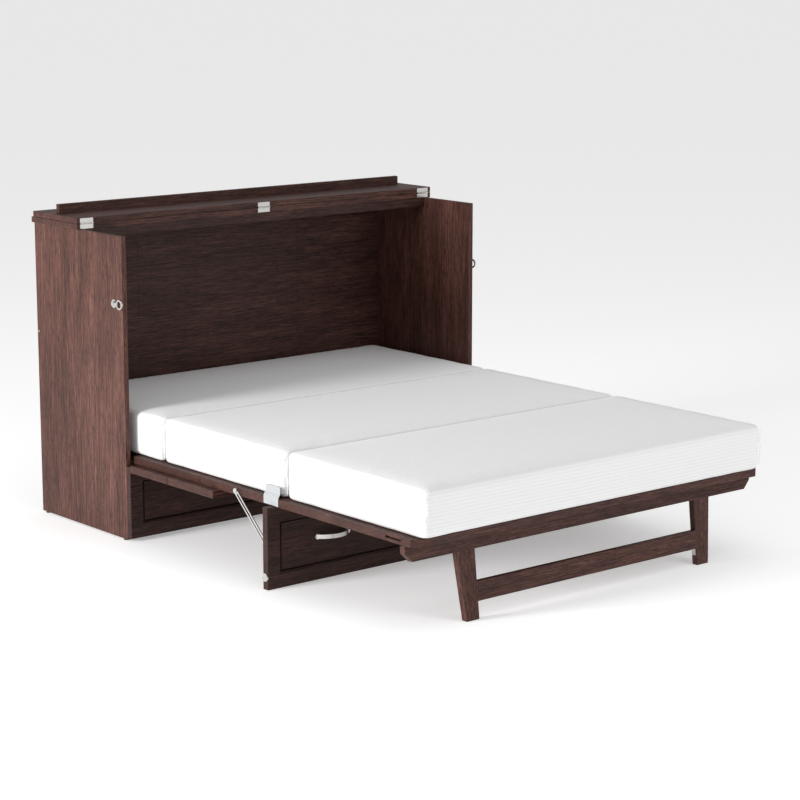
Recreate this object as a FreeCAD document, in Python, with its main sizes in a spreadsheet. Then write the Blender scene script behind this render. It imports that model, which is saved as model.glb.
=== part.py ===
import FreeCAD
import Part
import os
import re

os.makedirs("parts", exist_ok=True)
doc = FreeCAD.newDocument("CabinetBed")
V = FreeCAD.Vector

# Sizes in mm, angles in degrees. "Depth" is measured forward from the cabinet's rear face.
SIZES = {
    "rearface": (1050.0, "Y of the rear face of the cabinet sides"),
    "outerhalf": (803.0, "half width over the cabinet sides"),
    "innerhalf": (784.0, "half width between the cabinet sides"),
    "cabdepth": (563.0, "depth of the cabinet sides"),
    "cabtop": (1070.0, "top of the cabinet sides"),
    "glidelift": (5.0, "height of the floor glides"),
    "backinner": (12.0, "depth of the inner face of the back"),
    "backouter": (4.0, "depth of the outer face of the back"),
    "backjoint": (373.0, "half distance between the two joints in the back"),
    "deckhalf": (770.0, "half width of the folding decks"),
    "deckunder": (274.0, "underside of the decks"),
    "decktop": (300.0, "top of the decks"),
    "headend": (507.0, "front edge of the head deck"),
    "midstart": (559.0, "rear edge of the middle deck"),
    "midjoin": (961.0, "joint between the two boards of the middle deck"),
    "midend": (1319.0, "front edge of the middle deck"),
    "footstart": (1351.0, "rear edge of the foot deck"),
    "footend": (2084.0, "front edge of the foot deck"),
    "jointgap": (3.0, "open joint between two boards side by side"),
    "frontthick": (25.0, "thickness of the fronts"),
    "frontstart": (588.5, "rear edge of the lower front while the bed is open"),
    "frontjoin": (813.0, "joint between the two fronts under the middle deck"),
    "frontend": (1080.0, "front edge of the upper front while the bed is open"),
    "panelrear": (1357.0, "rear face of the support panel"),
    "panelfront": (1382.0, "front face of the support panel"),
    "paneltop": (273.5, "top edge of the support panel"),
    "basebottom": (12.0, "bottom edge of the base front"),
    "basetop": (268.0, "top edge of the base front"),
    "framewidth": (48.0, "width of the raised frame round a front"),
    "framestep": (5.0, "width of the small step inside the frame"),
    "stepshallow": (3.0, "depth of the small step"),
    "stepdeep": (6.0, "depth of the field inside the frame"),
    "stepgroove": (12.0, "depth of the groove round the field"),
    "groovewidth": (7.0, "width of the groove round the field"),
    "lidhalf": (812.0, "half width of the lid boards"),
    "lidthick": (20.0, "thickness of the lid boards"),
    "lidedge": (299.5, "depth of the front edge of the rear lid"),
    "lidpivotd": (300.0, "depth of the lid pivot"),
    "lidpivotz": (1090.7, "height of the lid pivot"),
    "bedpivotd": (563.5, "depth of the bed pivot"),
    "bedpivotz": (274.0, "height of the bed pivot"),
    "deckpivotd": (1335.0, "depth of the pivot between the decks"),
    "deckpivotz": (300.5, "height of the pivot between the decks"),
    "panelpivotz": (273.7, "height of the support panel pivot"),
    "trestlepivotd": (2006.0, "depth of the trestle pivot"),
    "trestlepivotz": (273.0, "height of the trestle pivot"),
    "trestletilt": (6.4, "outward lean of the trestle"),
    "trestlethick": (22.0, "thickness of the trestle boards"),
    "beamtop": (2.0, "top edge of the beam below the trestle pivot"),
    "beambottom": (55.0, "bottom edge of the beam below the trestle pivot"),
    "leginner": (491.5, "half distance between the inner edges of the legs"),
    "legtop": (565.0, "outer edge of a leg under the beam"),
    "legfoot": (543.0, "outer edge of a leg at the floor"),
    "leglength": (282.0, "bottom of an uncut leg below the trestle pivot"),
    "stretchertop": (158.0, "top edge of the stretcher below the pivot"),
    "stretcherbottom": (221.0, "bottom edge of the stretcher below the pivot"),
    "staypind": (1345.0, "depth of the stay pin"),
    "staypinz": (128.0, "height of the stay pin"),
    "staylength": (238.6, "distance from the pin to the button of a stay"),
    "stayangle": (42.1, "slope of an open stay"),
    "stayinner": (771.2, "inner face of a stay, from the middle plane"),
    "stayouter": (774.4, "outer face of a stay, from the middle plane"),
    "latchd": (515.0, "depth of the latch pivot"),
    "latchz": (835.0, "height of the latch pivot"),
    "ringreach": (39.0, "latch pivot to the centre of the ring"),
    "mathalf": (762.0, "half width of the mattress"),
    "matunder": (300.5, "underside of the mattress"),
    "mattop": (456.5, "top of the mattress"),
    "mathead": (14.0, "head end of the mattress"),
    "matseamhead": (711.0, "seam between head and middle cushions"),
    "matseamfoot": (1408.0, "seam between middle and foot cushions"),
    "matfoot": (2104.0, "foot end of the mattress"),
    "matgap": (0.5, "half gap at a seam"),
}

sheet = doc.addObject("Spreadsheet::Sheet", "Sizes")
for row, (alias, (value, note)) in enumerate(SIZES.items(), start=1):
    sheet.set(f"A{row}", note)
    sheet.set(f"B{row}", str(value))
    sheet.setAlias(f"B{row}", alias)
doc.recompute()

WORD = re.compile(r"[a-z]+")
NODES = []


def bind(obj, prop, text):
    """Drive a property with a formula written in the words of the size table."""

    def full(match):
        word = match.group(0)
        return "Sizes." + word if word in SIZES else word

    obj.setExpression(prop, WORD.sub(full, str(text)))


def put(obj, x, y, z):
    bind(obj, "Placement.Base.x", x)
    bind(obj, "Placement.Base.y", y)
    bind(obj, "Placement.Base.z", z)
    return obj


def box(name, x0, x1, d0, d1, z0, z1):
    """Block between two X, two depths and two heights."""
    block = doc.addObject("Part::Box", name)
    bind(block, "Length", f"({x1}) - ({x0})")
    bind(block, "Width", f"({d1}) - ({d0})")
    bind(block, "Height", f"({z1}) - ({z0})")
    return put(block, x0, f"rearface - ({d1})", z0)


def rod(name, axis, radius, start, end, first, second):
    """Round bar along an axis. The last two are its other coordinates (X, depth, Z order)."""
    bar = doc.addObject("Part::Cylinder", name)
    bind(bar, "Radius", radius)
    bind(bar, "Height", f"({end}) - ({start})")
    if axis == "x":
        bar.Placement = FreeCAD.Placement(V(), FreeCAD.Rotation(V(0, 1, 0), 90))
        return put(bar, start, f"rearface - ({first})", second)
    if axis == "depth":
        bar.Placement = FreeCAD.Placement(V(), FreeCAD.Rotation(V(1, 0, 0), 90))
        return put(bar, first, f"rearface - ({start})", second)
    return put(bar, first, f"rearface - ({second})", start)


def fuse(name, shapes):
    joined = doc.addObject("Part::MultiFuse", name)
    joined.Shapes = list(shapes)
    return joined


def cut(name, base, tools):
    tool = tools[0] if len(tools) == 1 else fuse(name + "_tools", tools)
    result = doc.addObject("Part::Cut", name)
    result.Base = base
    result.Tool = tool
    return result


def common(name, base, tool):
    result = doc.addObject("Part::Common", name)
    result.Base = base
    result.Tool = tool
    return result


def edges_of(base, wanted):
    doc.recompute()
    return [i for i, edge in enumerate(base.Shape.Edges, start=1) if wanted(edge.BoundBox)]


def rounded(name, base, radius, wanted=lambda bb: True):
    result = doc.addObject("Part::Fillet", name)
    result.Base = base
    result.Edges = [(i, radius, radius) for i in edges_of(base, wanted)]
    return result


def bevelled(name, base, first, second, wanted):
    result = doc.addObject("Part::Chamfer", name)
    result.Base = base
    result.Edges = [(i, first, second) for i in edges_of(base, wanted)]
    return result


def node(obj, label):
    """Name a finished sub-part and list it for export."""
    obj.Label = label
    NODES.append(obj)
    return obj


def span(side, near, far):
    """X range on one side of the middle plane."""
    if side > 0:
        return near, far
    return f"-({far})", f"-({near})"


def lean(obj):
    """Stand an object made about the trestle pivot in its leaning place."""
    obj.Placement = FreeCAD.Placement(V(), FreeCAD.Rotation(V(-1, 0, 0), SIZES["trestletilt"][0]))
    return put(obj, 0, "rearface - trestlepivotd", "trestlepivotz")


def trestle_box(name, x0, x1, down0, down1, out0, out1):
    """Block in the trestle's own frame: down from the pivot, out toward the foot."""
    return box(name, x0, x1, f"rearface + {out0}", f"rearface + {out1}",
               f"-({down1})", f"-({down0})")


EASE = 1.0      # radius on the long edges of boards
SIDES = ((-1, "left"), (1, "right"))


# ---------------------------------------------------------------- hinges
BARREL = 3.5
PANEL_BARREL = 2.5      # these barrels lie just under the closed lid
PIN = 1.5
BORE = 1.56
CLEAR = 0.3


def barrels(tag, centres, width, which, d, z, radius, extra=0.0):
    """The outer pair or the centre barrel of every hinge in a row."""
    made = []
    for number, centre in enumerate(centres):
        sixth = width / 6.0
        if which == "outer":
            ranges = [(centre - width / 2.0, centre - sixth), (centre + sixth, centre + width / 2.0)]
        else:
            ranges = [(centre - sixth + 0.2, centre + sixth - 0.2)]
        for side, (a, b) in enumerate(ranges):
            name = f"{tag}_{number}_{side}"
            made.append(rod(name, "x", radius, a - extra, b + extra, d, z))
    return made


def leaves(tag, centres, width, leaf):
    d0, d1, z0, z1 = leaf
    half = width / 2.0
    return [box(f"{tag}_{n}", c - half, c + half, d0, d1, z0, z1) for n, c in enumerate(centres)]


def hinge_fixed(label, centres, width, d, z, leaf, radius=BARREL, webs=None):
    """Outer barrels, their pin and the leaf of the side that stays."""
    plates = fuse(label + "_plates", leaves(label + "_leaf", centres, width, leaf))
    room = barrels(label + "_room", centres, width, "centre", d, z, radius + CLEAR, 0.4)
    pieces = [cut(label + "_relieved", plates, room)]
    pieces += barrels(label + "_barrel", centres, width, "outer", d, z, radius)
    for number, centre in enumerate(centres):
        half = width / 2.0
        pieces.append(rod(f"{label}_pin_{number}", "x", PIN, centre - half, centre + half, d, z))
        for side in (-1, 1) if webs else ():
            near = centre + side * width / 6.0
            far = centre + side * half
            name = f"{label}_web_{number}_{'a' if side < 0 else 'b'}"
            pieces.append(box(name, min(near, far), max(near, far), *webs))
    return node(fuse(label, pieces), label)


def hinge_moving(label, centres, width, d, z, leaf, radius=BARREL, finish=None):
    """Centre barrels with their bore and the leaf of the side that turns."""
    plates = fuse(label + "_plates", leaves(label + "_leaf", centres, width, leaf))
    room = barrels(label + "_room", centres, width, "outer", d, z, radius + CLEAR, 0.2)
    relieved = cut(label + "_relieved", plates, room)
    solid = fuse(label + "_solid", [relieved] + barrels(label + "_barrel", centres, width,
                                                       "centre", d, z, radius))
    bore = barrels(label + "_bore", centres, width, "centre", d, z, BORE, 1.0)
    made = cut(label, solid, bore)
    if finish:
        finish(made)
    return node(made, label)


def pockets(tag, centres, width, *ranges):
    """Room for a row of hinges, one block per hinge and range."""
    half = width / 2.0 + 0.5
    made = []
    for n, c in enumerate(centres):
        for k, (d0, d1, z0, z1) in enumerate(ranges):
            made.append(box(f"{tag}_{n}_{k}", c - half, c + half, d0, d1, z0, z1))
    return made


LID_ROW = (-772.0, 0.0, 772.0)
LID_WIDE = 54.0
BED_ROW = (-520.0, 0.0, 520.0)
DECK_ROW = (-500.0, 0.0, 500.0)
PANEL_ROW = (-640.0, 0.0, 640.0)
TRESTLE_ROW = (-400.0, 0.0, 400.0)
WIDE = 70.0


# ---------------------------------------------------------------- cabinet
for side, word in SIDES:
    x0, x1 = span(side, "innerhalf", "outerhalf")
    raw = box(f"side_{word}_board", x0, x1, 0, "cabdepth", "glidelift", "cabtop")
    node(rounded(f"side_{word}", raw, EASE, lambda bb: bb.ZLength > 500 or bb.YLength > 500),
         f"side_{word}")

glides = []
for side, word in SIDES:
    middle = f"{side} * (innerhalf + outerhalf) / 2"
    for spot, depth in (("rear", 25), ("front", 540)):
        glides.append(rod(f"glide_{word}_{spot}", "z", 9, 0, "glidelift", middle, depth))
node(fuse("glides", glides), "glides")

caps = []
for side, word in SIDES:
    x0, x1 = span(side, "outerhalf", "outerhalf + 0.8")
    caps.append(rod(f"cap_{word}", "x", 4, x0, x1, 10, 674))
node(fuse("side_caps", caps), "side_caps")

back_ranges = (("left", "-innerhalf", "-backjoint - 0.4"),
               ("middle", "-backjoint + 0.4", "backjoint - 0.4"),
               ("right", "backjoint + 0.4", "innerhalf"))
for word, x0, x1 in back_ranges:
    node(box(f"back_{word}", x0, x1, "backouter", "backinner", 30, "cabtop - 4"), f"back_{word}")

head_board = box("head_deck_board", "-innerhalf + 1", "innerhalf - 1", "backinner + 1", "headend",
                 "deckunder", "decktop")
node(rounded("head_deck", head_board, EASE, lambda bb: bb.XLength > 500), "head_deck")
for side, word in SIDES:
    x0, x1 = span(side, "innerhalf - 22", "innerhalf")
    node(box(f"rail_{word}", x0, x1, "backinner + 22", 500, 240, "deckunder"), f"rail_{word}")
node(box("rail_back", "-innerhalf", "innerhalf", "backinner", "backinner + 22", 240, "deckunder"),
     "rail_back")


def framed(name, x, d0, d1, z0, z1, face):
    """A front with a raised frame: a small step, a groove, then the sunk field.

    face "foot" puts the field on the face toward the foot, "under" on the underside.
    """
    whole = box(name + "_board", f"-({x})", x, d0, d1, z0, z1)
    made = rounded(name + "_eased", whole, EASE, lambda bb: bb.XLength > 500)

    def sunk(word, inset, sink):
        left, right = f"-({x}) + {inset}", f"({x}) - ({inset})"
        if face == "foot":
            place = (f"({d1}) - {sink}", f"({d1}) + 1", f"({z0}) + {inset}", f"({z1}) - ({inset})")
        else:
            place = (f"({d0}) + {inset}", f"({d1}) - ({inset})", f"({z0}) - 1", f"({z0}) + {sink}")
        return box(f"{name}_{word}", left, right, *place)

    inner = "framewidth + framestep"
    groove = cut(name + "_groove", sunk("groove_outside", inner, "stepgroove"),
                 [sunk("groove_inside", inner + " + groovewidth", "stepgroove + 1")])
    step = sunk("step", "framewidth", "stepshallow")
    field = sunk("field", inner, "stepdeep")
    return made, [step, groove, field]


base, fields = framed("base_panel", "outerhalf", "cabdepth", "cabdepth + frontthick",
                      "basebottom", "basetop", "foot")
node(cut("base_panel", base, fields), "base_panel")

lid_rear_raw = box("lid_rear_board", "-lidhalf", "lidhalf", -4, "lidedge",
                   "cabtop", "cabtop + lidthick")
lid_rear_eased = rounded("lid_rear_eased", lid_rear_raw, EASE)
room = pockets("lid_rear_room", LID_ROW, LID_WIDE,
               ("lidedge - 1.2", "lidedge + 1", 1072, 1089),
               ("lidpivotd - 3.6", "lidedge + 1", 1087, "cabtop + lidthick + 1"))
node(cut("lid_rear", lid_rear_eased, room), "lid_rear")
node(box("lid_apron", "-innerhalf", "innerhalf", 280, 299, 1038, "cabtop"), "lid_apron")

for side, word in SIDES:
    x0, x1 = span(side, "outerhalf", "outerhalf + 4")
    b0, b1 = span(side, "outerhalf", "outerhalf + 10")
    disc = rod(f"latch_disc_{word}", "x", 15, x0, x1, "latchd", "latchz")
    boss = rod(f"latch_boss_{word}", "x", 5, b0, b1, "latchd", "latchz")
    node(fuse(f"latch_post_{word}", [disc, boss]), f"latch_post_{word}")

hinge_fixed("lid_hinge_fixed", LID_ROW, LID_WIDE, "lidpivotd", "lidpivotz",
            ("lidedge - 1.2", "lidedge", 1072, 1089), radius=3.0)
hinge_fixed("bed_hinge_fixed", BED_ROW, WIDE, "bedpivotd", "bedpivotz",
            (564, 587.5, "basetop", "basetop + 1.5"), webs=(564, 566.5, "basetop", 272.5))


# ---------------------------------------------------------------- folding lid
lid_front_raw = box("lid_front_raw", "-lidhalf", "lidhalf", 8, "lidedge",
                    "cabtop + lidthick + 1", "cabtop + 2 * lidthick + 1")
lid_front_eased = rounded("lid_front_eased", lid_front_raw, EASE)
room = pockets("lid_front_room", LID_ROW, LID_WIDE,
               ("lidedge - 1.2", "lidedge + 1", 1092, 1109),
               ("lidpivotd - 3.6", "lidedge + 1", 1090, 1094.4))
node(cut("lid_front_board", lid_front_eased, room), "lid_front_board")
stiffener = box("lid_stiffener_board", -782, 782, 118, 136, 1111, 1143)
node(rounded("lid_stiffener", stiffener, EASE, lambda bb: bb.XLength > 500 and bb.ZMin > 1130),
     "lid_stiffener")
hinge_moving("lid_hinge_moving", LID_ROW, LID_WIDE, "lidpivotd", "lidpivotz",
             ("lidedge - 1.2", "lidedge", 1092, 1109), radius=3.0)


# ---------------------------------------------------------------- middle deck and its fronts
mid_head = box("mid_head_raw", "-deckhalf", "deckhalf", "midstart", "midjoin - jointgap / 2",
               "deckunder", "decktop")
room = pockets("mid_head_room", BED_ROW, WIDE, (558, 568.5, 273, 278))
node(cut("deck_mid_head", mid_head, room), "deck_mid_head")
mid_foot = box("mid_foot_raw", "-deckhalf", "deckhalf", "midjoin + jointgap / 2", "midend",
               "deckunder", "decktop")
room = pockets("mid_foot_top_room", DECK_ROW, WIDE, (1295, 1320, "decktop - 1.5", "decktop + 1"))
room += pockets("mid_foot_under_room", PANEL_ROW, WIDE, (1289.5, 1320, 273, "deckunder + 1.7"))
node(cut("deck_mid_foot", mid_foot, room), "deck_mid_foot")

for label, d0, d1 in (("front_lower", "frontstart", "frontjoin - jointgap / 2"),
                      ("front_upper", "frontjoin + jointgap / 2", "frontend")):
    board, fields = framed(label, "outerhalf", d0, d1, "deckunder - frontthick", "deckunder",
                           "under")
    node(cut(label, board, fields), label)

hinge_moving("bed_hinge_moving", BED_ROW, WIDE, "bedpivotd", "bedpivotz",
             (563.5, 587.5, 272.3, "deckunder"))
hinge_fixed("deck_hinge_fixed", DECK_ROW, WIDE, "deckpivotd", "deckpivotz",
            (1295, "deckpivotd", "decktop - 1.5", "decktop"))
hinge_fixed("panel_hinge_fixed", PANEL_ROW, WIDE, "panelrear", "panelpivotz",
            (1290, "panelrear", "deckunder + 0.2", "deckunder + 1.7"), radius=PANEL_BARREL)


# ---------------------------------------------------------------- foot deck
foot_raw = box("deck_foot_raw", "-deckhalf", "deckhalf", "footstart", "footend",
               "deckunder", "decktop")
foot_front = SIZES["rearface"][0] - SIZES["footend"][0]
foot_shaped = bevelled("deck_foot_shaped", foot_raw, 28, 28,
                       lambda bb: bb.ZLength > 20 and abs(bb.YMax - foot_front) < 0.1)
room = pockets("foot_top_room", DECK_ROW, WIDE, (1350, 1375, "decktop - 1.5", "decktop + 1"))
room += pockets("foot_panel_room", PANEL_ROW, WIDE, (1350, 1362, 273, 279))
room += pockets("foot_trestle_room", TRESTLE_ROW, WIDE,
                (1974.5, 2006, 273, "deckunder + 1.5"), (2001, 2011, 273, 278))
for side, word in SIDES:
    x0, x1 = span(side, "deckhalf - 12", "deckhalf + 1")
    room.append(box(f"foot_slot_{word}", x0, x1, 1938, 2011, 284, 291))
node(cut("deck_foot_board", foot_shaped, room), "deck_foot_board")
hinge_moving("deck_hinge_moving", DECK_ROW, WIDE, "deckpivotd", "deckpivotz",
             ("deckpivotd", 1375, "decktop - 1.5", "decktop"))
hinge_fixed("trestle_hinge_fixed", TRESTLE_ROW, WIDE, "trestlepivotd", "trestlepivotz",
            (1975, "trestlepivotd", "deckunder", "deckunder + 1.5"))


# ---------------------------------------------------------------- trestle
beam_raw = trestle_box("beam_raw", "-deckhalf", "deckhalf", "beamtop", "beambottom",
                       0, "trestlethick")
beam_low = -SIZES["beambottom"][0]
beam_shaped = bevelled("beam_shaped", beam_raw, 28, 28,
                       lambda bb: bb.YLength > 20 and abs(bb.ZMin - beam_low) < 0.1)
room = []
for n, c in enumerate(TRESTLE_ROW):
    half = WIDE / 2.0 + 0.5
    room.append(trestle_box(f"beam_leaf_room_{n}", c - half, c + half, 0, 34.5, -1, 1.5))
    room.append(trestle_box(f"beam_barrel_room_{n}", c - half, c + half, 0, 5, -1, 5))
node(lean(cut("trestle_beam", beam_shaped, room)), "trestle_beam")

ground = box("ground", -900, 900, 1800, 2300, -60, 0)
for side, word in SIDES:
    wedge = doc.addObject("Part::Wedge", f"leg_{word}_blank")
    low, high = "-leglength", "-beambottom"
    if side > 0:
        xs = {"Xmin": "leginner", "Xmax": "legfoot", "X2min": "leginner", "X2max": "legtop"}
    else:
        xs = {"Xmin": "-legfoot", "Xmax": "-leginner", "X2min": "-legtop", "X2max": "-leginner"}
    for prop, text in xs.items():
        bind(wedge, prop, text)
    # the wedge tapers along its own Y, which is turned up and then leaned
    bind(wedge, "Ymin", low)
    bind(wedge, "Ymax", high)
    for prop, text in (("Zmin", 0), ("Z2min", 0), ("Zmax", "trestlethick"),
                       ("Z2max", "trestlethick")):
        bind(wedge, prop, text)
    upright = 90 - SIZES["trestletilt"][0]
    wedge.Placement = FreeCAD.Placement(V(), FreeCAD.Rotation(V(1, 0, 0), upright))
    put(wedge, 0, "rearface - trestlepivotd", "trestlepivotz")
    node(cut(f"trestle_leg_{word}", wedge, [ground]), f"trestle_leg_{word}")

stretcher = trestle_box("stretcher_raw", "-leginner", "leginner", "stretchertop",
                        "stretcherbottom", 0, "trestlethick")
eased = rounded("stretcher_eased", stretcher, EASE, lambda bb: bb.XLength > 500)
node(lean(eased), "trestle_stretcher")

plates = []
for side, word in SIDES:
    plates.append(trestle_box(f"bracket_flat_{word}", *span(side, "leginner - 40", "leginner"),
                              "stretcherbottom", "stretcherbottom + 2.5", 3, 19))
    plates.append(trestle_box(f"bracket_up_{word}", *span(side, "leginner - 2.5", "leginner"),
                              "stretcherbottom", "stretcherbottom + 22", 3, 19))
node(lean(fuse("trestle_brackets", plates)), "trestle_brackets")
hinge_moving("trestle_hinge_moving", TRESTLE_ROW, WIDE, "rearface", 0,
             ("rearface", "rearface + 1.5", -34, 0), finish=lean)


# ---------------------------------------------------------------- support panel
board, fields = framed("support_panel", "outerhalf", "panelrear", "panelfront", 0, "paneltop",
                       "foot")
room = pockets("panel_room", PANEL_ROW, WIDE,
               ("panelrear - 1", "panelrear + 1.5", 239.5, 272),
               ("panelrear - 1", "panelrear + 4.5", 269.2, "paneltop + 1"))
node(cut("support_board", board, fields + room), "support_board")
hinge_moving("panel_hinge_moving", PANEL_ROW, WIDE, "panelrear", "panelpivotz",
             ("panelrear", "panelrear + 1.5", 240, "panelpivotz"), radius=PANEL_BARREL)

HANDLE_X = 532.0
HANDLE_Z = 145.0
HANDLE_CHORD = 130.0
HANDLE_RISE = 32.0
HANDLE_BAND = 5.0
field_depth = SIZES["panelfront"][0] - SIZES["stepdeep"][0]
bow = (HANDLE_CHORD ** 2 / 4.0 + HANDLE_RISE ** 2) / (2.0 * HANDLE_RISE)
bow_centre = field_depth + HANDLE_RISE - bow
for side, word in SIDES:
    x = side * HANDLE_X
    low, high = HANDLE_Z - 7.0, HANDLE_Z + 7.0
    outer = rod(f"handle_{word}_outer", "z", bow + HANDLE_BAND / 2, low, high, x, bow_centre)
    inner = rod(f"handle_{word}_inner", "z", bow - HANDLE_BAND / 2, low - 1, high + 1, x,
                bow_centre)
    band = cut(f"handle_{word}_band", outer, [inner])
    keep = box(f"handle_{word}_keep", x - 80, x + 80, field_depth, field_depth + 60,
               low - 1, high + 1)
    arc = common(f"handle_{word}_arc", band, keep)
    feet = []
    for end in (-1, 1):
        foot_x = x + end * (HANDLE_CHORD / 2.0 - 2.0)
        feet.append(rod(f"handle_{word}_foot_{'a' if end < 0 else 'b'}", "depth", 10,
                        field_depth, field_depth + 2.5, foot_x, HANDLE_Z))
    node(fuse(f"pull_handle_{word}", [arc] + feet), f"pull_handle_{word}")

for side, word in SIDES:
    x0, x1 = span(side, "outerhalf", "outerhalf + 4")
    node(rod(f"keeper_stud_{word}", "x", 14, x0, x1, "panelrear + frontthick / 2", 41.7),
         f"keeper_stud_{word}")
    x0, x1 = span(side, 775, 782.5)
    block = box(f"stay_block_{word}", x0, x1, "panelrear - 22", "panelrear",
                "staypinz - 10", "staypinz + 10")
    x0, x1 = span(side, 770.7, 782)
    pin = rod(f"stay_pin_{word}", "x", 3, x0, x1, "staypind", "staypinz")
    node(fuse(f"stay_bracket_{word}", [block, pin]), f"stay_bracket_{word}")


# ---------------------------------------------------------------- slotted stays
SLOT_START = 30.0
SLOT_END = 222.0
for side, word in SIDES:
    x0, x1 = span(side, "stayinner", "stayouter")
    w0, w1 = span(side, "stayinner - 1", "stayouter + 1")
    b0, b1 = span(side, "stayouter", "stayouter + 3")
    # along the bar is toward the head, so its depths are taken back from the pin
    bar = fuse(f"stay_{word}_bar", [
        box(f"stay_{word}_strip", x0, x1, "rearface - staylength", "rearface", -9, 9),
        rod(f"stay_{word}_low", "x", 9, x0, x1, "rearface", 0),
        rod(f"stay_{word}_high", "x", 9, x0, x1, "rearface - staylength", 0),
        rod(f"stay_{word}_button", "x", 8, b0, b1, "rearface - staylength", 0)])
    holes = [
        rod(f"stay_{word}_eye", "x", 3.06, w0, w1, "rearface", 0),
        box(f"stay_{word}_slot", w0, w1, f"rearface - {SLOT_END}", f"rearface - {SLOT_START}",
            -3.5, 3.5),
        rod(f"stay_{word}_slot_low", "x", 3.5, w0, w1, f"rearface - {SLOT_START}", 0),
        rod(f"stay_{word}_slot_high", "x", 3.5, w0, w1, f"rearface - {SLOT_END}", 0)]
    made = cut(f"stay_{word}", bar, holes)
    made.Placement = FreeCAD.Placement(V(), FreeCAD.Rotation(V(1, 0, 0), SIZES["stayangle"][0]))
    bind(made, "Placement.Rotation.Angle", "stayangle")
    put(made, 0, "rearface - staypind", "staypinz")
    node(made, f"stay_{word}")


# ---------------------------------------------------------------- latch rings
for side, word in SIDES:
    x0, x1 = span(side, "outerhalf + 5", "outerhalf + 9")
    w0, w1 = span(side, "outerhalf + 4", "outerhalf + 10")
    ring = cut(f"ring_{word}_loop",
               rod(f"ring_{word}_outer", "x", 17.5, x0, x1, "latchd + ringreach", "latchz"),
               [rod(f"ring_{word}_inner", "x", 11.5, w0, w1, "latchd + ringreach", "latchz")])
    hub = rod(f"ring_{word}_hub", "x", 9, x0, x1, "latchd", "latchz")
    arm = box(f"ring_{word}_arm", x0, x1, "latchd + 5", "latchd + ringreach - 13",
              "latchz - 5", "latchz + 5")
    solid = fuse(f"ring_{word}_solid", [ring, hub, arm])
    bore = rod(f"ring_{word}_bore", "x", 5.06, w0, w1, "latchd", "latchz")
    node(cut(f"latch_ring_{word}", solid, [bore]), f"latch_ring_{word}")


# ---------------------------------------------------------------- mattress
SOFT = 22.0      # radius round the outside of the cushions
SEAM = 7.0       # radius along the seams
limits = {
    "head": ("mathead", "matseamhead - matgap"),
    "middle": ("matseamhead + matgap", "matseamfoot - matgap"),
    "foot": ("matseamfoot + matgap", "matfoot"),
}
for word, (d0, d1) in limits.items():
    raw = box(f"cushion_{word}_raw", "-mathalf", "mathalf", d0, d1, "matunder", "mattop")
    made = rounded(f"cushion_{word}_round", raw, SOFT, lambda bb: bb.YLength > 400)
    if word == "middle":
        groove = box("cushion_groove", -900, 900, 1327, 1343, 299, 305.5)
        made = cut("mattress_middle", made, [groove])
    node(made, f"mattress_{word}")

flaps = []
for side, word in SIDES:
    near, far = "mathalf", "mathalf + 2.5"
    x0, x1 = span(side, near, far)
    t0, t1 = span(side, "mathalf + 0.3", far)
    e0, e1 = span(side, near, "deckhalf + 2.4")
    h0, h1 = span(side, "deckhalf + 0.4", "deckhalf + 2.4")
    flaps.append(box(f"flap_{word}_body", x0, x1, 1320, 1404, 301, 341))
    flaps.append(box(f"flap_{word}_tail", t0, t1, 1404, 1418, 301, 341))
    flaps.append(box(f"flap_{word}_ledge", e0, e1, 1320, 1398, 300.7, 302.4))
    flaps.append(box(f"flap_{word}_hem", h0, h1, 1320, 1398, 275, 302.4))
node(fuse("mattress_flap", flaps), "mattress_flap")


# ---------------------------------------------------------------- check and export
doc.recompute()
troubled = []
for obj in doc.Objects:
    if any(word in ("Invalid", "Error") for word in obj.State):
        troubled.append(obj.Label)
    if hasattr(obj, "Shape"):
        shape = obj.Shape
        if shape.isNull() or not shape.isValid() or shape.Volume <= 0:
            troubled.append(obj.Label + " (shape)")
if troubled:
    raise RuntimeError("objects with trouble: " + ", ".join(troubled))

labels = [obj.Label for obj in NODES]
if len(set(labels)) != len(labels):
    raise RuntimeError("two sub-parts share a name")
for obj in NODES:
    obj.Shape.exportStep(f"parts/{obj.Label}.step")
print(len(NODES), "sub-parts exported")
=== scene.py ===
import math

import bpy
import numpy as np
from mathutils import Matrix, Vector


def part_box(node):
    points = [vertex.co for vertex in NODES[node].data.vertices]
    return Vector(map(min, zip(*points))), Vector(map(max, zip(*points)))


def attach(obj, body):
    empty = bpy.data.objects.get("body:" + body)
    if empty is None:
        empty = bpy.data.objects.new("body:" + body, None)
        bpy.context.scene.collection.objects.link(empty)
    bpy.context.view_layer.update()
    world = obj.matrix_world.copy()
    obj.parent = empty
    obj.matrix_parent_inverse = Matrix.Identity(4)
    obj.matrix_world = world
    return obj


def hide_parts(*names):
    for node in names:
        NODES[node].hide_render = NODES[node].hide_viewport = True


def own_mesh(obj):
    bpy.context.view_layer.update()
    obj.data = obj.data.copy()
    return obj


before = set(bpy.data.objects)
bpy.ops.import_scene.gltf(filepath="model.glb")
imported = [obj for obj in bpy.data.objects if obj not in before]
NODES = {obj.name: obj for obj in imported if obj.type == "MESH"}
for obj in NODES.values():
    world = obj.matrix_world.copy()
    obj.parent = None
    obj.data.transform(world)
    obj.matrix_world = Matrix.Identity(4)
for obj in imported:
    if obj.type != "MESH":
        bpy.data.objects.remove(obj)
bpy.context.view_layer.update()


# ---------------------------------------------------------------- materials
def new_material(name):
    mat = bpy.data.materials.new(name)
    mat.use_nodes = True
    tree = mat.node_tree
    shader = next(n for n in tree.nodes if n.type == "BSDF_PRINCIPLED")
    return mat, tree, shader


def add(tree, kind, **sockets):
    made = tree.nodes.new(kind)
    for key, value in sockets.items():
        made.inputs[key.replace("_", " ")].default_value = value
    return made


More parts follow.
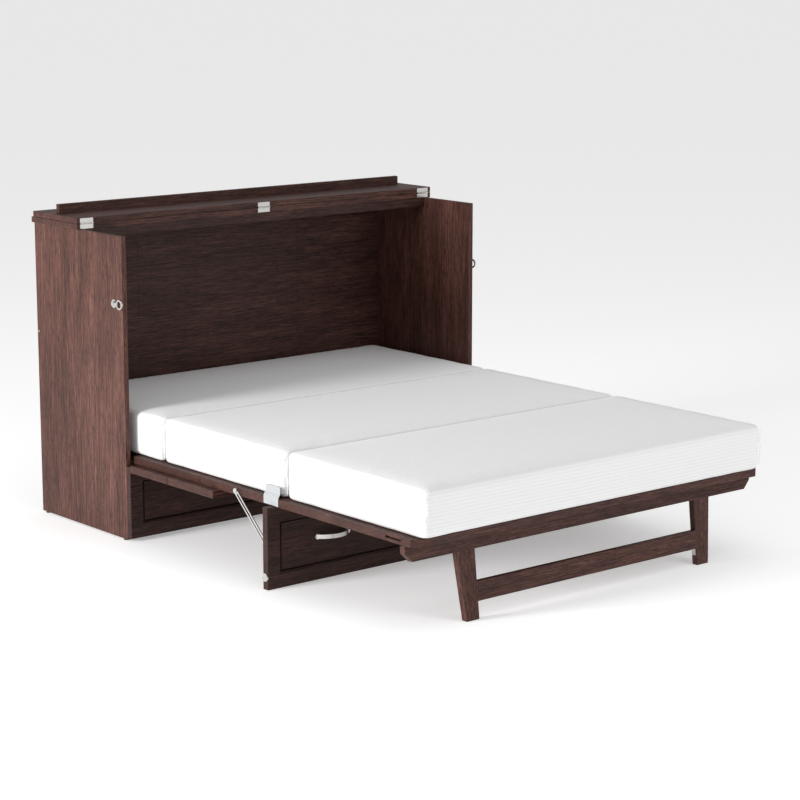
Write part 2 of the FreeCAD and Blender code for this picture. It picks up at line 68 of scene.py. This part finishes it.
def ramp(tree, source, stops):
    made = tree.nodes.new("ShaderNodeValToRGB")
    bar = made.color_ramp
    while len(bar.elements) < len(stops):
        bar.elements.new(0.5)
    for element, (place, colour) in zip(bar.elements, stops):
        element.position = place
        element.color = (*colour, 1.0)
    tree.links.new(source, made.inputs["Fac"])
    return made


def stretched(tree, coords, along, across, axis):
    """Coordinates squeezed along the grain, so noise draws out into fibres."""
    scale = [across, across, across]
    scale["XYZ".index(axis)] = along
    mapping = tree.nodes.new("ShaderNodeMapping")
    mapping.inputs["Scale"].default_value = scale
    tree.links.new(coords, mapping.inputs["Vector"])
    return mapping.outputs["Vector"]


def wood(name, axis, tone=1.0):
    """Open-grained dark stained veneer with its fibres along one axis; tone scales the whole colour up
    as painted light or down as painted shade.
    """
    mat, tree, shader = new_material(name)
    coords = tree.nodes.new("ShaderNodeTexCoord").outputs["Object"]
    figure = add(tree, "ShaderNodeTexNoise", Scale=1.0, Detail=3.0, Roughness=0.55, Distortion=0.6)
    tree.links.new(stretched(tree, coords, 1.3, 11.0, axis), figure.inputs["Vector"])
    fibre = add(tree, "ShaderNodeTexNoise", Scale=1.0, Detail=6.0, Roughness=0.7)
    tree.links.new(stretched(tree, coords, 8.0, 230.0, axis), fibre.inputs["Vector"])
    pore = add(tree, "ShaderNodeTexNoise", Scale=1.0, Detail=3.0, Roughness=0.6)
    tree.links.new(stretched(tree, coords, 34.0, 620.0, axis), pore.inputs["Vector"])

    def lit(r, g, b):
        return tuple(c * tone for c in (r, g, b))

    broad = ramp(tree, figure.outputs["Fac"], [(0.30, lit(0.050, 0.0190, 0.0138)),
                                               (0.52, lit(0.071, 0.0285, 0.0212)),
                                               (0.72, lit(0.098, 0.0420, 0.0320))])
    fine = ramp(tree, fibre.outputs["Fac"], [(0.34, (0.30, 0.28, 0.28)), (0.52, (1.0, 1.0, 1.0)),
                                             (0.68, (1.85, 1.85, 1.85))])
    mixed = tree.nodes.new("ShaderNodeMix")
    mixed.data_type = "RGBA"
    mixed.blend_type = "MULTIPLY"
    mixed.inputs["Factor"].default_value = 1.0
    tree.links.new(broad.outputs["Color"], mixed.inputs[6])
    tree.links.new(fine.outputs["Color"], mixed.inputs[7])
    specks = ramp(tree, pore.outputs["Fac"], [(0.40, (0.22, 0.20, 0.20)), (0.50, (1.0, 1.0, 1.0))])
    pored = tree.nodes.new("ShaderNodeMix")
    pored.data_type = "RGBA"
    pored.blend_type = "MULTIPLY"
    pored.inputs["Factor"].default_value = 0.85
    tree.links.new(mixed.outputs[2], pored.inputs[6])
    tree.links.new(specks.outputs["Color"], pored.inputs[7])
    tree.links.new(pored.outputs[2], shader.inputs["Base Color"])
    shader.inputs["Roughness"].default_value = 0.5
    shader.inputs["Specular IOR Level"].default_value = 0.22
    bump = add(tree, "ShaderNodeBump", Strength=0.16, Distance=0.0006)
    tree.links.new(fibre.outputs["Fac"], bump.inputs["Height"])
    tree.links.new(bump.outputs["Normal"], shader.inputs["Normal"])
    return mat


def metal(name, colour, roughness):
    """Brushed plated metal: fine scratches along X vary its gloss and catch the light."""
    mat, tree, shader = new_material(name)
    shader.inputs["Base Color"].default_value = (*colour, 1.0)
    shader.inputs["Metallic"].default_value = 1.0
    coords = tree.nodes.new("ShaderNodeTexCoord").outputs["Object"]
    brush = add(tree, "ShaderNodeTexNoise", Scale=1.0, Detail=4.0, Roughness=0.6)
    tree.links.new(stretched(tree, coords, 60.0, 1400.0, "X"), brush.inputs["Vector"])
    gloss = add(tree, "ShaderNodeMapRange", To_Min=roughness * 0.8, To_Max=roughness * 1.3)
    tree.links.new(brush.outputs["Fac"], gloss.inputs["Value"])
    tree.links.new(gloss.outputs["Result"], shader.inputs["Roughness"])
    scratch = add(tree, "ShaderNodeBump", Strength=0.08, Distance=0.0001)
    tree.links.new(brush.outputs["Fac"], scratch.inputs["Height"])
    tree.links.new(scratch.outputs["Normal"], shader.inputs["Normal"])
    return mat


def moulded(name, colour, roughness):
    """Moulded plastic with a faint pebble and an uneven tone."""
    mat, tree, shader = new_material(name)
    coords = tree.nodes.new("ShaderNodeTexCoord").outputs["Object"]
    pebble = add(tree, "ShaderNodeTexNoise", Scale=900.0, Detail=2.0, Roughness=0.5)
    tree.links.new(coords, pebble.inputs["Vector"])
    tone = ramp(tree, pebble.outputs["Fac"], [(0.35, tuple(c * 0.7 for c in colour)), (0.65, colour)])
    tree.links.new(tone.outputs["Color"], shader.inputs["Base Color"])
    shader.inputs["Roughness"].default_value = roughness
    raised = add(tree, "ShaderNodeBump", Strength=0.2, Distance=0.0002)
    tree.links.new(pebble.outputs["Fac"], raised.inputs["Height"])
    tree.links.new(raised.outputs["Normal"], shader.inputs["Normal"])
    return mat


def plain(name, colour, roughness):
    mat, tree, shader = new_material(name)
    shader.inputs["Base Color"].default_value = (*colour, 1.0)
    shader.inputs["Roughness"].default_value = roughness
    return mat


def knit(name, colour, axis, period, waviness, depth):
    """Stretch knit: fine raised lines along the cloth, with a slight wander."""
    mat, tree, shader = new_material(name)
    coords = tree.nodes.new("ShaderNodeTexCoord").outputs["Object"]
    lines = add(tree, "ShaderNodeTexWave", Scale=2.0 * math.pi / (20.0 * period),
                Distortion=waviness, Detail=1.0, Detail_Scale=0.35)
    lines.wave_type = "BANDS"
    lines.bands_direction = axis
    tree.links.new(coords, lines.inputs["Vector"])
    loops = add(tree, "ShaderNodeTexNoise", Scale=420.0, Detail=2.0, Roughness=0.6)
    tree.links.new(coords, loops.inputs["Vector"])
    tint = ramp(tree, lines.outputs["Fac"], [(0.0, tuple(c * 0.94 for c in colour)), (0.6, colour)])
    tree.links.new(tint.outputs["Color"], shader.inputs["Base Color"])
    shader.inputs["Roughness"].default_value = 0.92
    shader.inputs["Specular IOR Level"].default_value = 0.12
    shader.inputs["Sheen Weight"].default_value = 0.25
    shader.inputs["Sheen Roughness"].default_value = 0.5
    raised = add(tree, "ShaderNodeBump", Strength=0.55, Distance=depth)
    tree.links.new(lines.outputs["Fac"], raised.inputs["Height"])
    fuzz = add(tree, "ShaderNodeBump", Strength=0.2, Distance=0.0005)
    tree.links.new(loops.outputs["Fac"], fuzz.inputs["Height"])
    tree.links.new(raised.outputs["Normal"], fuzz.inputs["Normal"])
    tree.links.new(fuzz.outputs["Normal"], shader.inputs["Normal"])
    return mat


# painted light: side panels and trestle legs get the same wood lightened to tone 1.3
WOOD_UPRIGHT_PAINTED_LIGHT = wood("wood_upright_painted_light", "Z", 1.3)
WOOD_LEVEL = wood("wood_level", "X", 1.0)
# painted shade: the same wood darkened to tone 0.68 for boards that sit in shade under and inside the
# bed
WOOD_PAINTED_SHADE = wood("wood_painted_shade", "X", 0.68)
# painted shade: the back panels get the same wood darkened to tone 0.85 for the shaded inside of the
# cabinet
WOOD_BACK_PAINTED_SHADE = wood("wood_back", "X", 0.85)
# painted light: the foot trestle gets the same wood lightened to tone 1.15
WOOD_TRESTLE_PAINTED_LIGHT = wood("wood_trestle", "X", 1.15)
NICKEL = metal("brushed_nickel", (0.62, 0.61, 0.59), 0.22)
BLACK = moulded("black_plastic", (0.013, 0.013, 0.014), 0.5)
COVER_TOP = knit("cover_top", (0.81, 0.81, 0.81), "X", 0.0135, 4.5, 0.0014)
COVER_SIDE = knit("cover_side", (0.82, 0.82, 0.82), "Z", 0.0115, 0.5, 0.0006)
WELT = knit("cover_welt", (0.86, 0.86, 0.86), "Z", 0.002, 0.2, 0.0002)
FLAP = knit("flap_cloth", (0.42, 0.43, 0.44), "Z", 0.003, 0.5, 0.0003)

UPRIGHT = ("side_left", "side_right", "trestle_leg_left", "trestle_leg_right")
METAL_WORDS = ("hinge", "latch", "stay", "keeper", "pull_handle", "bracket", "caps")
for name, obj in NODES.items():
    if name == "mattress_flap":
        mat = FLAP
    elif name.startswith("mattress_"):
        mat = COVER_SIDE
    elif name in UPRIGHT:
        mat = WOOD_UPRIGHT_PAINTED_LIGHT
    elif any(word in name for word in METAL_WORDS):
        mat = NICKEL
    elif name == "glides":
        mat = BLACK
    elif name.startswith("trestle_"):
        mat = WOOD_TRESTLE_PAINTED_LIGHT
    elif name.startswith("back_"):
        mat = WOOD_BACK_PAINTED_SHADE
    # these boards take the darkened wood, painted shade
    elif name in ("base_panel", "support_board", "lid_apron", "head_deck"):
        mat = WOOD_PAINTED_SHADE
    else:
        mat = WOOD_LEVEL
    obj.data.materials.clear()
    obj.data.materials.append(mat)


# ---------------------------------------------------------------- cushions
CORNER = 0.032      # upright corners in plan
OUTER = 0.021       # top and bottom edges round the outside
VOXEL = 0.011
SWELL = 0.006       # how far the cover may bulge from the foam
SHY = Vector((0.0035, 0.0010, 0.0020))      # how much smaller the cover starts than its node
CLOTH_FRAMES = 20
CLOTH_PRESSURE = 4.0
CROWN = 0.0022      # rise of the top's middle
GATHER = 0.0014     # depth of the gathers at the upright corners
GATHER_REACH = 0.030
OPEN_END = 0.015    # an end rounded more than this is a free end, not a seam


def grid_box(name, lo, hi):
    """A closed box, evenly meshed, that the shaping below can round."""
    mesh = bpy.data.meshes.new(name)
    corners = [(x, y, z) for x in (lo.x, hi.x) for y in (lo.y, hi.y) for z in (lo.z, hi.z)]
    faces = [(0, 1, 3, 2), (4, 6, 7, 5), (0, 4, 5, 1), (2, 3, 7, 6), (0, 2, 6, 4), (1, 5, 7, 3)]
    mesh.from_pydata(corners, [], faces)
    obj = bpy.data.objects.new(name, mesh)
    bpy.context.scene.collection.objects.link(obj)
    made = obj.modifiers.new("even", "REMESH")
    made.mode = "VOXEL"
    made.voxel_size = VOXEL
    apply(obj)
    return obj


def apply(obj):
    """Replace the mesh by what its modifiers make of it."""
    graph = bpy.context.evaluated_depsgraph_get()
    made = bpy.data.meshes.new_from_object(obj.evaluated_get(graph))
    obj.modifiers.clear()
    obj.data = made


def points(obj):
    co = np.empty(len(obj.data.vertices) * 3)
    obj.data.vertices.foreach_get("co", co)
    return co.reshape(-1, 3)


def set_points(obj, co):
    obj.data.vertices.foreach_set("co", co.reshape(-1))
    obj.data.update()


def round_off(co, lo, hi, seam_rear, seam_front):
    """Round the upright corners, then the top and bottom edges; seams stay crisper."""
    lo, hi = np.array(lo), np.array(hi)
    mid, half = (lo + hi) / 2, (hi - lo) / 2
    off = co - mid
    sign = np.where(off < 0, -1.0, 1.0)
    inset = np.maximum(half - np.abs(off), 0.0)
    q = np.maximum(CORNER - inset[:, :2], 0.0)
    length = np.maximum(np.linalg.norm(q, axis=1), 1e-9)
    shrink = np.minimum(1.0, CORNER / length)
    q = q * shrink[:, None]
    cornered = (inset[:, 0] < CORNER) & (inset[:, 1] < CORNER)
    inset[:, :2] = np.where(cornered[:, None], CORNER - q, inset[:, :2])
    reach = np.where(cornered, CORNER - np.linalg.norm(q, axis=1), np.minimum(inset[:, 0], inset[:, 1]))
    toward = np.zeros((len(co), 2))
    toward[cornered] = q[cornered] / np.maximum(np.linalg.norm(q[cornered], axis=1), 1e-9)[:, None]
    side_x = ~cornered & (inset[:, 0] <= inset[:, 1])
    toward[side_x] = (1.0, 0.0)
    toward[~cornered & ~side_x] = (0.0, 1.0)
    at_rear = sign[:, 1] > 0
    crisp = np.where(at_rear, seam_rear, seam_front)
    weight = toward[:, 1] ** 2
    radius = OUTER * (1 - weight) + crisp * weight
    a = np.maximum(radius - reach, 0.0)
    b = np.maximum(radius - inset[:, 2], 0.0)
    length = np.maximum(np.hypot(a, b), 1e-9)
    shrink = np.minimum(1.0, radius / length)
    reach_new = np.where(a > 0, radius - a * shrink, reach)
    push = reach_new - reach
    inset[:, :2] += toward * push[:, None]
    inset[:, 2] = np.where((b > 0) & (a > 0), radius - b * shrink, inset[:, 2])
    return mid + sign * (half - inset)


def cushion(name, node, seam_rear, seam_front):
    lo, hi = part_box(node)
    lo, hi = lo + SHY, hi - SHY
    lo.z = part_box(node)[0].z + 0.0002
    obj = grid_box(name, lo, hi)
    rest = round_off(points(obj), lo, hi, seam_rear, seam_front)
    set_points(obj, rest)
    cloth = obj.modifiers.new("cover", "CLOTH")
    cloth.settings.quality = 4
    cloth.settings.use_pressure = True
    cloth.settings.uniform_pressure_force = CLOTH_PRESSURE
    cloth.settings.effector_weights.gravity = 0.0
    cloth.settings.tension_stiffness = 30.0
    cloth.settings.compression_stiffness = 30.0
    cloth.settings.bending_stiffness = 4.0
    cloth.point_cache.frame_start = 1
    cloth.point_cache.frame_end = CLOTH_FRAMES
    for tick in range(1, CLOTH_FRAMES + 1):
        bpy.context.scene.frame_set(tick)
    apply(obj)
    bpy.context.scene.frame_set(1)
    co = points(obj)
    move = co - rest
    size = np.linalg.norm(move, axis=1)
    cap = np.minimum(1.0, SWELL / np.maximum(size, 1e-9))
    co = rest + move * cap[:, None]
    # the foam lies flat on the deck, and neighbours press flat against each other
    outer_lo, outer_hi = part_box(node)
    co[:, 2] = np.maximum(co[:, 2], outer_lo.z + 0.0001)
    co[:, 1] = np.clip(co[:, 1], outer_lo.y - (0.004 if seam_front > OPEN_END else 0.0),
                       outer_hi.y + (0.002 if seam_rear > OPEN_END else 0.0))
    # a gentle crown over the top and small gathers in the cover at the upright corners
    mid = (np.array(lo) + np.array(hi)) / 2
    half = (np.array(hi) - np.array(lo)) / 2
    u, v = np.abs((co - mid) / half)[:, 0], np.abs((co - mid) / half)[:, 1]
    upper = np.clip((co[:, 2] - mid[2]) / half[2], 0.0, 1.0)
    co[:, 2] += CROWN * upper ** 4 * (1 - u ** 4) * (1 - v ** 4)
    near = np.exp(-((half[0] - np.abs(co[:, 0] - mid[0])) / GATHER_REACH) ** 2)
    near *= np.exp(-((half[1] - np.abs(co[:, 1] - mid[1])) / GATHER_REACH) ** 2)
    wave = np.sin(co[:, 2] * 118.0 + np.sign(co[:, 0]) * 1.3) + 0.5 * np.sin(co[:, 2] * 271.0 + 0.7)
    flat = 1.0 - np.clip(np.abs(co[:, 2] - mid[2]) / half[2], 0.0, 1.0) ** 3
    co[:, 0] -= np.sign(co[:, 0]) * GATHER * near * (wave + 1.2) * flat
    set_points(obj, co)
    smooth = obj.modifiers.new("finer", "SUBSURF")
    smooth.levels = smooth.render_levels = 1
    apply(obj)
    obj.data.materials.clear()
    obj.data.materials.append(COVER_TOP)
    obj.data.materials.append(COVER_SIDE)
    for face in obj.data.polygons:
        face.use_smooth = True
        face.material_index = 0 if face.normal.z > 0.55 else 1
    return obj


PIECES = (("cushion_head", "mattress_head", "cushion_head", 0.021, 0.004),
          ("cushion_middle", "mattress_middle", "cushion_middle", 0.004, 0.009),
          ("cushion_foot", "mattress_foot", "cushion_foot", 0.009, 0.021))


def welts(name, node, body):
    """The sewn seam that runs up each upright corner of a cover, with its slack."""
    lo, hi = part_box(node)
    curve = bpy.data.curves.new(name, "CURVE")
    curve.dimensions = "3D"
    curve.bevel_depth = 0.0011
    curve.bevel_resolution = 2
    inset = CORNER * (1 - math.sqrt(0.5)) + 0.0024
    for sx, x in ((-1, lo.x), (1, hi.x)):
        for sy, y in ((-1, lo.y), (1, hi.y)):
            spline = curve.splines.new("NURBS")
            count = 15
            spline.points.add(count - 1)
            for i in range(count):
                t = i / (count - 1)
                z = lo.z + 0.016 + t * (hi.z - lo.z - 0.034)
                sway = 0.0030 * math.sin(t * 9.0 + sx) + 0.0014 * math.sin(t * 23.0 + sy)
                ease = math.sin(math.pi * t) ** 0.5
                spline.points[i].co = (x - sx * (inset - sway * ease * 0.3),
                                       y - sy * (inset + sway * ease), z, 1.0)
            spline.use_endpoint_u = True
            spline.order_u = 4
    obj = bpy.data.objects.new(name, curve)
    bpy.context.scene.collection.objects.link(obj)
    obj.data.materials.append(WELT)
    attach(obj, body)


for piece, node, body, rear, front in PIECES:
    pad = cushion(piece + "_cover", node, rear, front)
    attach(pad, body)
    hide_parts(node)
    welts(piece + "_welts", node, body)


FLAP_THICK = 0.0016
FLAP_OFF_COVER = 0.0013     # from the cover's side face to the middle of the cloth
FLAP_OFF_DECK = 0.0017      # from the deck's edge to the middle of the cloth
FLAP_BEND = 0.0165          # height over which the cloth steps out past the deck's edge
FLAP_OVER_DECK = 0.0015     # the step is finished this far above the deck's top
FLAP_MARGIN = 0.0007        # the cloth stays this far inside its node's height
FLAP_DEPTH = 0.080          # cut width, along the bed
FLAP_ROWS = 20
FLAP_STEPS = 12


def flap_section():
    """Points from the sewn edge down: along the cover, out past the deck's edge, and down."""
    lowest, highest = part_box("mattress_flap")
    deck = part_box("deck_mid_foot")[1]
    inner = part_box("mattress_middle")[1].x + FLAP_OFF_COVER
    outer = deck.x + FLAP_OFF_DECK
    top, low = highest.z - FLAP_MARGIN, lowest.z + FLAP_MARGIN
    bend_top = deck.z + FLAP_OVER_DECK + FLAP_BEND
    section = []
    for i in range(FLAP_ROWS + 1):
        z = top + (low - top) * i / FLAP_ROWS
        t = min(max((bend_top - z) / FLAP_BEND, 0.0), 1.0)
        section.append((inner + (outer - inner) * t * t * (3.0 - 2.0 * t), z))
    return section


def flap(name, side):
    """A cloth strip sewn to the cover's side, hanging over the gap between the decks."""
    section = flap_section()
    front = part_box("mattress_flap")[1].y
    verts, faces = [], []
    for i, (x, z) in enumerate(section):
        loose = i / FLAP_ROWS
        for k in range(FLAP_STEPS + 1):
            t = k / FLAP_STEPS
            ripple = 0.0004 * math.sin(t * 8.0 + side) * loose
            hem = 0.0005 * math.sin(t * 5.0) * loose
            verts.append((side * (x + ripple), front - t * FLAP_DEPTH, z + hem))
    wide = FLAP_STEPS + 1
    for i in range(FLAP_ROWS):
        for k in range(FLAP_STEPS):
            a = i * wide + k
            quad = (a, a + 1, a + wide + 1, a + wide)
            faces.append(quad if side > 0 else quad[::-1])
    mesh = bpy.data.meshes.new(name)
    mesh.from_pydata(verts, [], faces)
    obj = bpy.data.objects.new(name, mesh)
    bpy.context.scene.collection.objects.link(obj)
    thick = obj.modifiers.new("thick", "SOLIDIFY")
    thick.thickness = FLAP_THICK
    thick.offset = 0.0
    finer = obj.modifiers.new("finer", "SUBSURF")
    finer.levels = finer.render_levels = 1
    apply(obj)
    obj.data.materials.clear()
    obj.data.materials.append(FLAP)
    for face in obj.data.polygons:
        face.use_smooth = True
    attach(obj, "cushion_middle")
    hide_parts("mattress_flap")
    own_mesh(obj)


flap("flap_left", -1)
flap("flap_right", 1)


# ---------------------------------------------------------------- floor, light, camera
floor_mesh = bpy.data.meshes.new("floor")
FLOOR_REACH = 120.0
FLOOR_DROP = 0.0005
floor_mesh.from_pydata([(x * FLOOR_REACH, y * FLOOR_REACH, -FLOOR_DROP)
                        for x, y in ((-1, -1), (1, -1), (1, 1), (-1, 1))], [], [(0, 1, 2, 3)])
floor = bpy.data.objects.new("floor", floor_mesh)
bpy.context.scene.collection.objects.link(floor)
pale = plain("pale_floor", (0.88, 0.88, 0.88), 0.9)
lift = next(n for n in pale.node_tree.nodes if n.type == "BSDF_PRINCIPLED")
lift.inputs["Emission Color"].default_value = (1.0, 1.0, 1.0, 1.0)
lift.inputs["Emission Strength"].default_value = 0.34
floor.data.materials.append(pale)

world = bpy.context.scene.world or bpy.data.worlds.new("studio")
bpy.context.scene.world = world
world.use_nodes = True
sky = world.node_tree.nodes.get("Background")
sky.inputs["Color"].default_value = (1.0, 1.0, 1.0, 1.0)
sky.inputs["Strength"].default_value = 0.52


def area_light(name, place, aim, size, energy):
    data = bpy.data.lights.new(name, "AREA")
    data.shape = "DISK"
    data.size = size
    data.energy = energy
    lamp = bpy.data.objects.new(name, data)
    lamp.location = place
    lamp.rotation_mode = "QUATERNION"
    lamp.rotation_quaternion = (Vector(aim) - Vector(place)).to_track_quat("-Z", "Y")
    bpy.context.scene.collection.objects.link(lamp)


area_light("key", (-6.5, 0.75, 1.8), (0.0, 0.0, 0.4), 2.0, 390.0)
area_light("front", (1.5, -6.0, 2.4), (0.0, 0.0, 0.4), 3.0, 82.0)
area_light("top", (0.5, -1.2, 5.0), (0.0, -0.3, 0.3), 4.0, 25.0)

cam_data = bpy.data.cameras.new("camera")
cam_data.sensor_width = 36.0
cam_data.lens = 105.106
cam_data.clip_end = 500.0
camera = bpy.data.objects.new("camera", cam_data)
YAW, PITCH = math.radians(39.8951), math.radians(11.2457)
camera.location = (-5.1515, -6.1987, 2.0781)
camera.rotation_euler = (math.pi / 2 - PITCH, 0.0, -YAW)
bpy.context.scene.collection.objects.link(camera)
bpy.context.scene.camera = camera
bpy.context.scene.view_settings.view_transform = "Standard"
